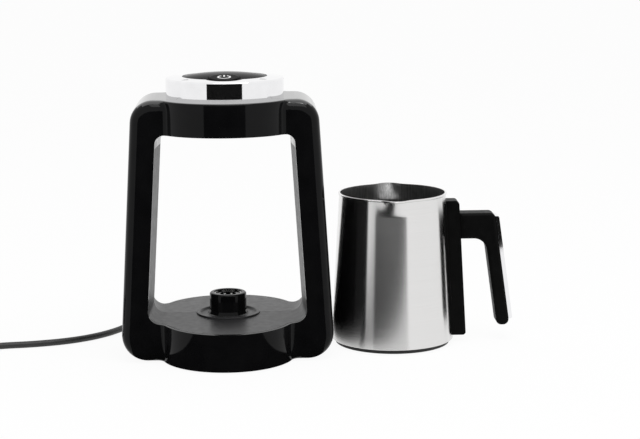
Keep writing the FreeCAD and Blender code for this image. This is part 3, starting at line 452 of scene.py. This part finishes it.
def lay_colour(material, mask, colour):
    """Lay one colour over the material wherever the mask is one, for print and for painted
    shade.
    """
    nodes, links = material.node_tree.nodes, material.node_tree.links
    base = shader_of(material).inputs["Base Color"]
    bare = work_out(material, "SUBTRACT", 1.0, mask)
    under = nodes.new("ShaderNodeVectorMath")
    under.operation = "SCALE"
    links.new(base.links[0].from_socket, under.inputs[0])
    links.new(bare, under.inputs["Scale"])
    over = nodes.new("ShaderNodeVectorMath")
    over.operation = "MULTIPLY_ADD"
    over.inputs[1].default_value = colour
    links.new(mask, over.inputs[0])
    links.new(under.outputs["Vector"], over.inputs[2])
    links.new(over.outputs["Vector"], base)
    return bare


def screw(name, x, y):
    """A pan head under the base plate, with a chamfered edge."""
    verts = [(SCREW_RADIUS * share * math.cos(2 * math.pi * i / SCREW_SIDES),
              SCREW_RADIUS * share * math.sin(2 * math.pi * i / SCREW_SIDES), z)
             for z, share in SCREW_LEVELS for i in range(SCREW_SIDES)]
    faces = [tuple(range(SCREW_SIDES)),
             tuple(reversed(range(2 * SCREW_SIDES, 3 * SCREW_SIDES)))]
    for ring in (0, SCREW_SIDES):
        for i in range(SCREW_SIDES):
            after = (i + 1) % SCREW_SIDES
            faces.append((ring + i, ring + SCREW_SIDES + i,
                          ring + SCREW_SIDES + after, ring + after))
    mesh = bpy.data.meshes.new(name)
    mesh.from_pydata(verts, [], faces)
    mesh.materials.append(screw_metal)
    head = bpy.data.objects.new(name, mesh)
    head.location = (x, y, 0.0)
    bpy.context.collection.objects.link(head)
    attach(head, "station")


def across(material):
    """The place on the piece itself, along x and y from its own origin."""
    nodes, links = material.node_tree.nodes, material.node_tree.links
    place = nodes.new("ShaderNodeTexCoord")
    apart = nodes.new("ShaderNodeSeparateXYZ")
    links.new(place.outputs["Object"], apart.inputs["Vector"])
    return apart.outputs["X"], apart.outputs["Y"]


for i, (x, y) in enumerate(
        ((-SCREW_X, -SCREW_Y), (SCREW_X, -SCREW_Y), (SCREW_X, SCREW_Y), (-SCREW_X, SCREW_Y))):
    screw("base_screw_%d" % i, x, y)
# The cross in each screw head is painted shade: dark colour on the flat head stands in for the
# recess.
ARM_WIDE, ARM_LONG = 0.0005, 0.0018
head_x, head_y = across(screw_metal)
shaded_cross_arms = [work_out(screw_metal, "MULTIPLY", within(screw_metal, narrow, 0.0, ARM_WIDE),
                 within(screw_metal, long, 0.0, ARM_LONG))
        for narrow, long in ((head_x, head_y), (head_y, head_x))]
lay_colour(screw_metal, work_out(screw_metal, "MAXIMUM", *shaded_cross_arms), (0.02, 0.02, 0.02))

# Chrome ring: an ABS ring, electroplated, clipped to the top cover round the panel. Two
# little cups are printed in grey on its upper face, beside the button.
CUP_X, CUP_Y = 0.033, -0.028
CUP_HALF, CUP_HANDLE, CUP_LINE = 0.0021, 0.0013, 0.0004
SAUCER_WIDE, SAUCER_DROP = 1.5, 1.6


def plated(name):
    """Bright chrome plating on a moulded part."""
    chrome = stuff(name, (0.86, 0.86, 0.87), {"Metallic": 1.0})
    tint(chrome, grain_in(chrome, 0.01), (0.84, 0.84, 0.85), (0.88, 0.88, 0.89))
    spread_over(chrome, grain_in(chrome, 0.015, detail=5.0), "Roughness", 0.03, 0.06)
    return chrome


def away_from(material, x, y):
    """How far a place is from the spot where x and y are nought."""
    return work_out(material, "SQRT", work_out(
        material, "ADD", work_out(material, "MULTIPLY", x, x),
        work_out(material, "MULTIPLY", y, y)))


ring_chrome = plated("ring_chrome")
along_x, along_y = distances_from(
    ring_chrome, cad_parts["chrome_ring"], (0.0, CUP_Y, 0.0))
aside = work_out(ring_chrome, "SUBTRACT",
                 work_out(ring_chrome, "ABSOLUTE", along_x), CUP_X)
bowl = work_out(ring_chrome, "MULTIPLY", within(ring_chrome, aside, 0.0, CUP_HALF),
                within(ring_chrome, along_y, 0.0, CUP_HALF))
saucer = work_out(ring_chrome, "MULTIPLY",
                  within(ring_chrome, aside, 0.0, CUP_HALF * SAUCER_WIDE),
                  within(ring_chrome, along_y, -CUP_HALF * SAUCER_DROP, CUP_LINE))
handle_x = work_out(ring_chrome, "SUBTRACT", aside, CUP_HALF)
loop = within(ring_chrome, away_from(ring_chrome, handle_x, along_y), CUP_HANDLE, CUP_LINE)
cup = work_out(ring_chrome, "MAXIMUM", bowl, work_out(ring_chrome, "MAXIMUM", saucer, loop))
bare_chrome = lay_colour(ring_chrome, cup, (0.16, 0.16, 0.165))
ring_chrome.node_tree.links.new(bare_chrome, shader_of(ring_chrome).inputs["Metallic"])
dress(ring_chrome, "chrome_ring")

# Control panel: a domed black disc of soft sheen with a lobe round the button. The
# button is turned with fine rings and carries the usual power sign, printed in white.
SIGN_RADIUS, SIGN_LINE = 0.0052, 0.0008
TURNED_PITCH = 0.0006


def black_panel(name):
    """Black moulding with a soft sheen, as the panel and its button have."""
    black = stuff(name, (0.004, 0.004, 0.0042), {"Specular IOR Level": 0.004})
    tint(black, grain_in(black, 0.02), (0.0035, 0.0035, 0.0037), (0.005, 0.005, 0.0052))
    spread_over(black, grain_in(black, 0.02), "Roughness", 0.08, 0.14)
    return black


DOME_TOP, DOME_RADIUS, DOME_REACH, PANEL_LOW = 252.2, 213.0, 47.0, 246.3
PANEL_RADIUS, LOBE_RADIUS, BUTTON_FORE = 37.0, 16.5, 28.0
BUTTON_RADIUS, BUTTON_GAP, BUTTON_PROUD, BUTTON_CROWN = 13.6, 0.5, 0.3, 0.8
BUTTON_DEEP, DOME_STEPS, ROUND_STEPS = 6.0, 24, 96
KEYHOLE_LEVELS = (PANEL_LOW - 1, COVER_TOP + 40)
BUTTON_HOLE_LEVELS = (-9.0, 9.0)


def circle(radius, z, y=0.0):
    return upright(arc_points(0, y, radius, 0, 2 * math.pi, ROUND_STEPS)[:-1], z)


dome = solid("dome_form", [circle(DOME_REACH, PANEL_LOW)] + [
    circle(DOME_REACH * (1 - i / DOME_STEPS) + 0.05 * i / DOME_STEPS,
           DOME_TOP - (DOME_REACH * (1 - i / DOME_STEPS)) ** 2 / (2 * DOME_RADIUS))
    for i in range(DOME_STEPS + 1)])
panel_round = solid("panel_round", [circle(PANEL_RADIUS, z) for z in KEYHOLE_LEVELS])
panel_lobe = solid("panel_lobe", [circle(LOBE_RADIUS, z, -BUTTON_FORE)
                                  for z in KEYHOLE_LEVELS])
keyhole = worked("keyhole_form", panel_round, [("UNION", panel_lobe)])
button_tilt = math.asin(BUTTON_FORE / DOME_RADIUS)
button_centre = Vector((0.0, -BUTTON_FORE, DOME_TOP + BUTTON_PROUD
                        - BUTTON_FORE ** 2 / (2 * DOME_RADIUS))) * MM
button_hole = solid("button_hole", [circle(BUTTON_RADIUS + BUTTON_GAP, z)
                                    for z in BUTTON_HOLE_LEVELS])
button_hole.location = button_centre
button_hole.rotation_euler.x = button_tilt
panel = black_panel("panel_gloss")
show(worked("top_panel_finished", dome, [("INTERSECT", keyhole), ("DIFFERENCE", button_hole)]),
     panel, "panel_gloss", "station", "top_panel")
button_piece = solid("power_button_finished", [
    circle(BUTTON_RADIUS, -BUTTON_DEEP), circle(BUTTON_RADIUS, -BUTTON_CROWN),
    circle(BUTTON_RADIUS - 0.25, -BUTTON_CROWN / 2), circle(BUTTON_RADIUS - 0.9, -0.15),
    circle(BUTTON_RADIUS - 2.5, 0.0)])
button_piece.location = button_centre
button_piece.rotation_euler.x = button_tilt
for form in (dome, panel_round, panel_lobe, keyhole, button_hole):
    bpy.data.objects.remove(form)
button = black_panel("button_gloss")
sign_x, sign_y = across(button)
reach = away_from(button, sign_x, sign_y)
turned_rings = work_out(button, "SINE", work_out(
    button, "MULTIPLY", reach, 2 * math.pi / TURNED_PITCH))
relief(button, turned_rings, 0.000003)
opening = work_out(button, "MULTIPLY", within(button, sign_x, 0.0, SIGN_LINE * 3),
                   work_out(button, "GREATER_THAN", sign_y, 0.0))
sign_arc = work_out(button, "MULTIPLY", within(button, reach, SIGN_RADIUS, SIGN_LINE),
                    work_out(button, "SUBTRACT", 1.0, opening))
bar = work_out(button, "MULTIPLY", within(button, sign_x, 0.0, SIGN_LINE),
               within(button, sign_y, SIGN_RADIUS * 0.8, SIGN_RADIUS * 0.55))
lay_colour(button, work_out(button, "MAXIMUM", sign_arc, bar), (0.8, 0.8, 0.8))
show(button_piece, button, "panel_gloss", "button", "power_button")

# Connector post: a glossy black moulding with a sprung contact ring and two contact
# pins in its well, all nickel plated; a satin collar surrounds its foot.
dress(gloss, "connector_post")
contact = stuff("contact_metal", (0.3, 0.3, 0.29), {"Metallic": 1.0})
tint(contact, grain_in(contact, 0.002), (0.26, 0.26, 0.25), (0.34, 0.34, 0.33))
spread_over(contact, grain_in(contact, 0.001), "Roughness", 0.16, 0.3)
dress(contact, "contact_ring", "contact_left", "contact_right")

lens = stuff("lens_smoke", (0.03, 0.01, 0.012), {"Roughness": 0.08})
tint(lens, grain_in(lens, 0.002), (0.025, 0.008, 0.01), (0.04, 0.012, 0.014))
dress(lens, "sensor_lens")

# Pot: spun from stainless steel and brushed round its axis; two lips are pressed out
# of the rim for pouring. A black skirt with the socket closes it below.
pot_steel = stuff("pot_steel", (0.75, 0.745, 0.74), {
    "Metallic": 1.0, "Anisotropic": 0.9, "Anisotropic Rotation": 0.25})
ROUND_THE_POT = (1200, 1200, 1)
tint(pot_steel, grain_in(pot_steel, 0.0005, ROUND_THE_POT),
     (0.71, 0.705, 0.7), (0.79, 0.785, 0.78))
spread_over(pot_steel, grain_in(pot_steel, 0.0005, ROUND_THE_POT), "Roughness", 0.2, 0.25)
relief(pot_steel, grain_in(pot_steel, 0.00025, (2000, 2000, 1), 2.0), 0.00000015)
round_the_pot = pot_steel.node_tree.nodes.new("ShaderNodeTangent")
round_the_pot.direction_type = "RADIAL"
round_the_pot.axis = "Z"
pot_steel.node_tree.links.new(round_the_pot.outputs["Tangent"],
                              shader_of(pot_steel).inputs["Tangent"])
# The inside is left unbrushed and duller than the outside, and its much darker colour is
# painted shade.
inside_steel_painted_shade = stuff("pot_steel_inside_painted_shade", (0.3, 0.3, 0.3), {"Metallic": 1.0})
tint(inside_steel_painted_shade, grain_in(inside_steel_painted_shade, 0.0012, (1, 1, 60)),
     (0.2, 0.2, 0.2), (0.34, 0.34, 0.34))
spread_over(inside_steel_painted_shade, grain_in(inside_steel_painted_shade, 0.003), "Roughness", 0.3, 0.4)

POT_FOOT, POT_FOOT_RADIUS, POT_FLOOR, POT_FLOOR_ROUND = 4.0, 56.1, 27.0, 8.0
POT_RIM, RIM_RADIUS, RIM_BEAD, STEEL = 138.8, 48.6, 0.9, 1.0
SPOUT_OUT, SPOUT_HALF, SPOUT_DROP = 7.4, 10.0, 15.0
SPOUT_SWELL, SPOUT_ROUND = 1.2, 2.4
POT_AROUND, SPOUT_LEVELS = 240, 16
WALL_LEVELS = [40.0, 80.0]


def pot_ring(radius, z):
    """A ring of the pot wall, pushed out at front and rear into the two spouts."""
    climb = min(1.0, max(0.0, (z - (POT_RIM - SPOUT_DROP)) / SPOUT_DROP))
    out = SPOUT_OUT * climb ** SPOUT_SWELL
    ring = []
    for i in range(POT_AROUND):
        angle = 2 * math.pi * i / POT_AROUND
        off_line = RIM_RADIUS * math.acos(min(1.0, abs(math.sin(angle))))
        reach = radius + out * math.exp(-abs(off_line / SPOUT_HALF) ** SPOUT_ROUND)
        ring.append((reach * math.cos(angle), reach * math.sin(angle), z))
    return ring


def wall_radius(z):
    share = (z - POT_FOOT) / (POT_RIM - 2 * RIM_BEAD - POT_FOOT)
    return POT_FOOT_RADIUS + (RIM_RADIUS - POT_FOOT_RADIUS) * share


spout_heights = [POT_RIM - 2 * RIM_BEAD - SPOUT_DROP * (1 - i / SPOUT_LEVELS)
                 for i in range(SPOUT_LEVELS + 1)]
outside = solid("pot_outside", [
    pot_ring(POT_FOOT_RADIUS - 0.5, POT_FOOT), pot_ring(POT_FOOT_RADIUS, POT_FOOT + 0.5)]
    + [pot_ring(wall_radius(z), z) for z in WALL_LEVELS]
    + [pot_ring(wall_radius(z), z) for z in spout_heights] + [
    pot_ring(RIM_RADIUS + RIM_BEAD, POT_RIM - RIM_BEAD * 1.3),
    pot_ring(RIM_RADIUS + RIM_BEAD, POT_RIM - RIM_BEAD * 0.5),
    pot_ring(RIM_RADIUS + RIM_BEAD * 0.5, POT_RIM)])
floor_turns = [math.pi / 2 * i / EDGE_STEPS for i in range(EDGE_STEPS)]
inside = solid("pot_inside", [
    pot_ring(wall_radius(POT_FLOOR) - STEEL - POT_FLOOR_ROUND * (1 - math.sin(turn)),
             POT_FLOOR + POT_FLOOR_ROUND * (1 - math.cos(turn))) for turn in floor_turns]
    + [pot_ring(wall_radius(z) - STEEL, z) for z in WALL_LEVELS + spout_heights]
    + [pot_ring(RIM_RADIUS - STEEL, POT_RIM + RIM_BEAD)])
below_floor = solid("pot_below_floor", [
    pot_ring(wall_radius(z) - STEEL, z) for z in (POT_FOOT - 1, POT_FLOOR - STEEL)])
pot = worked("pot_body_finished", outside, [
    ("DIFFERENCE", inside), ("DIFFERENCE", below_floor)])
for form in (outside, inside, below_floor):
    bpy.data.objects.remove(form)
low_corner, high_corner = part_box("pot_body")
pot.location = ((low_corner[0] + high_corner[0]) / 2,
                (low_corner[1] + high_corner[1]) / 2, 0.0)
show(pot, pot_steel, "pot_steel", "pot", "pot_body")
# The inside faces take the darker steel, which is painted shade.
second_material(pot, inside_steel_painted_shade, lambda face: face.center.z > (POT_FLOOR - 0.5) * MM
              and (face.normal.z > 0.9 and face.center.z < 0.12
                   or face.normal.xy.dot(face.center.xy) < -0.0005))

skirt = stuff("pot_base_black", (0.016, 0.016, 0.016), {"Specular IOR Level": 0.35})
tint(skirt, grain_in(skirt, 0.01), (0.013, 0.013, 0.013), (0.02, 0.02, 0.02))
spread_over(skirt, grain_in(skirt, 0.004), "Roughness", 0.45, 0.58)
relief(skirt, grain_in(skirt, 0.0005, detail=2.0), 0.000015)
dress(skirt, "pot_base")

heater = stuff("heater_aluminium", (0.75, 0.75, 0.76), {"Metallic": 1.0})
tint(heater, grain_in(heater, 0.004), (0.7, 0.7, 0.71), (0.78, 0.78, 0.79))
spread_over(heater, grain_in(heater, 0.002), "Roughness", 0.35, 0.5)
dress(heater, "heater_plate")

element = stuff("element_steel", (0.42, 0.4, 0.38), {"Metallic": 1.0})
tint(element, grain_in(element, 0.006), (0.36, 0.34, 0.32), (0.46, 0.44, 0.42))
spread_over(element, grain_in(element, 0.002), "Roughness", 0.3, 0.42)
dress(element, "heating_element")

# Handle: black nylon with a fine grain, screwed to the pot through its bracket, with a
# chrome strip clipped to the back of the grip.
dress(plated("strip_chrome"), "handle_strip")
nylon = stuff("handle_black", (0.003, 0.003, 0.003), {"Specular IOR Level": 0.04})
tint(nylon, grain_in(nylon, 0.01), (0.0025, 0.0025, 0.0025), (0.004, 0.004, 0.004))
spread_over(nylon, grain_in(nylon, 0.005), "Roughness", 0.36, 0.48)
relief(nylon, grain_in(nylon, 0.0005, detail=2.0), 0.000012)
dress(nylon, "handle_bracket", "handle_grip")

# Mains cord: a round two-core PVC flex, 6 mm thick. It leaves the station through its
# strain relief, lies on the worktop and ends in a neat coil and a moulded plug.
cord_vinyl = stuff("cord_black", (0.014, 0.014, 0.014), {"Roughness": 0.45})
tint(cord_vinyl, grain_in(cord_vinyl, 0.008), (0.012, 0.012, 0.012), (0.02, 0.02, 0.02))
spread_over(cord_vinyl, grain_in(cord_vinyl, 0.01), "Roughness", 0.4, 0.52)
dress(cord_vinyl, "cord_gland", "plug_body")
nickel = stuff("pin_nickel", (0.75, 0.73, 0.68), {"Metallic": 1.0, "Roughness": 0.22})
tint(nickel, grain_in(nickel, 0.003), (0.72, 0.7, 0.65), (0.8, 0.78, 0.74))
dress(nickel, "plug_pin_near", "plug_pin_far")

CORD_THICK = 0.006
LIE = 0.0031
EXIT_Y = 0.105
EXIT = (0.0, EXIT_Y, 0.014)
COIL_X, COIL_Y, COIL_RADIUS, COIL_STEP, COIL_TURNS = -0.262, 0.042, 0.033, 0.0072, 3
TURN_POINTS = 16
START_Y = COIL_Y - COIL_RADIUS
COIL_TOP = LIE + COIL_STEP * COIL_TURNS
route = [
    EXIT,
    (0.0, EXIT_Y + 0.021, 0.012),
    (-0.009, EXIT_Y + 0.046, 0.0046),
    (-0.036, EXIT_Y + 0.062, LIE),
    (-0.069, EXIT_Y + 0.054, LIE),
    (-0.086, EXIT_Y + 0.022, LIE),
    (-0.095, EXIT_Y - 0.014, LIE),
    (-0.114, EXIT_Y - 0.047, LIE),
    (-0.142, EXIT_Y - 0.070, LIE),
    (-0.176, EXIT_Y - 0.082, LIE),
    (-0.208, EXIT_Y - 0.086, LIE),
    (-0.237, START_Y, LIE),
    (COIL_X + 0.0065, START_Y, LIE),
]
corner_reach = COIL_RADIUS / math.cos(math.pi / TURN_POINTS)
for i in range(COIL_TURNS * TURN_POINTS):
    share = (i + 0.5) / TURN_POINTS
    angle = -math.pi / 2 - share * 2 * math.pi
    route.append((COIL_X + corner_reach * math.cos(angle),
                  COIL_Y + corner_reach * math.sin(angle), LIE + COIL_STEP * share))
route += [
    (COIL_X - 0.0065, START_Y, COIL_TOP),
    (COIL_X - 0.02, START_Y, COIL_TOP),
    (COIL_X - 0.038, START_Y + 0.0015, 0.017),
    (COIL_X - 0.057, START_Y + 0.003, 0.013),
    (COIL_X - 0.076, START_Y + 0.004, 0.0196),
    (COIL_X - 0.094, START_Y + 0.004, 0.0196),
]
line = bpy.data.curves.new("mains_cord", "CURVE")
line.dimensions = "3D"
line.bevel_depth = CORD_THICK / 2
line.bevel_resolution = 6
line.resolution_u = 8
line.use_fill_caps = True
spline = line.splines.new("NURBS")
spline.points.add(len(route) - 1)
for point, spot in zip(spline.points, route):
    point.co = (*spot, 1.0)
spline.order_u = 3
spline.use_endpoint_u = True
cord = bpy.data.objects.new("mains_cord", line)
bpy.context.collection.objects.link(cord)
line.materials.append(cord_vinyl)
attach(cord, "station")
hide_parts("cord", "cord_coil", "cord_lead")

# Floor: a flat white studio floor that keeps a trace of shadow. It isn't part of the
# coffee maker, nor are the card, the surround and the soft box below.
floor_size, FLOOR_GLOW = 8.0, 0.93
floor_mesh = bpy.data.meshes.new("floor")
floor_mesh.from_pydata(
    [(-floor_size, -floor_size, 0), (floor_size, -floor_size, 0),
     (floor_size, floor_size, 0), (-floor_size, floor_size, 0)], [], [(0, 1, 2, 3)])
floor = bpy.data.objects.new("floor", floor_mesh)
bpy.context.collection.objects.link(floor)
floor.location.z = -0.0002
floor_white = bpy.data.materials.new("floor_white")
floor_white.use_nodes = True
tree = floor_white.node_tree
tree.nodes.clear()
paint = tree.nodes.new("ShaderNodeBsdfDiffuse")
paint.inputs["Color"].default_value = (0.92, 0.92, 0.92, 1.0)
glow = tree.nodes.new("ShaderNodeEmission")
glow.inputs["Color"].default_value = (1.0, 1.0, 1.0, 1.0)
glow.inputs["Strength"].default_value = 1.0
mix = tree.nodes.new("ShaderNodeMixShader")
rays = tree.nodes.new("ShaderNodeLightPath")
seen = tree.nodes.new("ShaderNodeMath")
seen.operation = "MAXIMUM"
share = tree.nodes.new("ShaderNodeMath")
share.operation = "MULTIPLY"
share.inputs[1].default_value = FLOOR_GLOW
out = tree.nodes.new("ShaderNodeOutputMaterial")
tree.links.new(rays.outputs["Is Camera Ray"], seen.inputs[0])
tree.links.new(rays.outputs["Is Glossy Ray"], seen.inputs[1])
tree.links.new(seen.outputs[0], share.inputs[0])
tree.links.new(share.outputs[0], mix.inputs["Fac"])
tree.links.new(paint.outputs[0], mix.inputs[1])
tree.links.new(glow.outputs[0], mix.inputs[2])
tree.links.new(mix.outputs[0], out.inputs["Surface"])
floor_mesh.materials.append(floor_white)

# Dark card in front: the unlit side of the studio behind the camera. It lies on the
# floor and stands up at its far end, and it is seen in reflections only.
CARD_BACK, CARD_NEAR, CARD_FAR, CARD_TALL = 0.12, 0.17, 1.07, 0.32
CARD_HALF_ANGLE = math.radians(30)
CARD_STEPS = 16
card_verts, card_faces = [], []
for i in range(CARD_STEPS + 1):
    angle = CARD_HALF_ANGLE * (2 * i / CARD_STEPS - 1)
    for away, level in ((CARD_NEAR, 0.0), (CARD_FAR, 0.0), (CARD_FAR, CARD_TALL)):
        card_verts.append((away * math.sin(angle), CARD_BACK - away * math.cos(angle), level))
for i in range(CARD_STEPS):
    first = 3 * i
    card_faces += [(first, first + 1, first + 4, first + 3),
                   (first + 1, first + 2, first + 5, first + 4)]
card_mesh = bpy.data.meshes.new("dark_card")
card_mesh.from_pydata(card_verts, [], card_faces)
card = bpy.data.objects.new("dark_card", card_mesh)
bpy.context.collection.objects.link(card)
card_mesh.materials.append(stuff("card_black", (0.01, 0.01, 0.01),
                                 {"Specular IOR Level": 0.0}))
card.visible_camera = False
card.visible_diffuse = False
card.visible_shadow = False
card.visible_transmission = False

# White surround: full strength where the camera and reflections look at it, weaker as
# a light, so that the floor keeps a trace of shadow.
world = bpy.data.worlds.new("studio")
bpy.context.scene.world = world
world.use_nodes = True
sky = world.node_tree
sky.nodes.clear()
back = sky.nodes.new("ShaderNodeBackground")
back.inputs["Color"].default_value = (1.0, 1.0, 1.0, 1.0)
rays = sky.nodes.new("ShaderNodeLightPath")
seen = sky.nodes.new("ShaderNodeMath")
seen.operation = "MAXIMUM"
also = sky.nodes.new("ShaderNodeMath")
also.operation = "MAXIMUM"
level = sky.nodes.new("ShaderNodeMapRange")
level.inputs["To Min"].default_value = 0.7
level.inputs["To Max"].default_value = 1.0
out = sky.nodes.new("ShaderNodeOutputWorld")
sky.links.new(rays.outputs["Is Camera Ray"], seen.inputs[0])
sky.links.new(rays.outputs["Is Glossy Ray"], seen.inputs[1])
sky.links.new(seen.outputs[0], also.inputs[0])
sky.links.new(rays.outputs["Is Transmission Ray"], also.inputs[1])
sky.links.new(also.outputs[0], level.inputs["Value"])
sky.links.new(level.outputs["Result"], back.inputs["Strength"])
sky.links.new(back.outputs[0], out.inputs["Surface"])

# Soft box: one large lamp above and in front of the object, to its right, aimed at the
# lower half of the station.
KEY_PLACE, KEY_AIM = Vector((0.3, -0.6, 1.6)), Vector((0, 0, 0.1))
key_light = bpy.data.lights.new("key", "AREA")
key_light.shape = "RECTANGLE"
key_light.size = 1.2
key_light.size_y = 1.0
key_light.energy = 12.0
key = bpy.data.objects.new("key", key_light)
bpy.context.collection.objects.link(key)
key.location = KEY_PLACE
key.rotation_euler = (KEY_AIM - KEY_PLACE).to_track_quat("-Z", "Y").to_euler()

bpy.context.scene.view_settings.view_transform = "Standard"
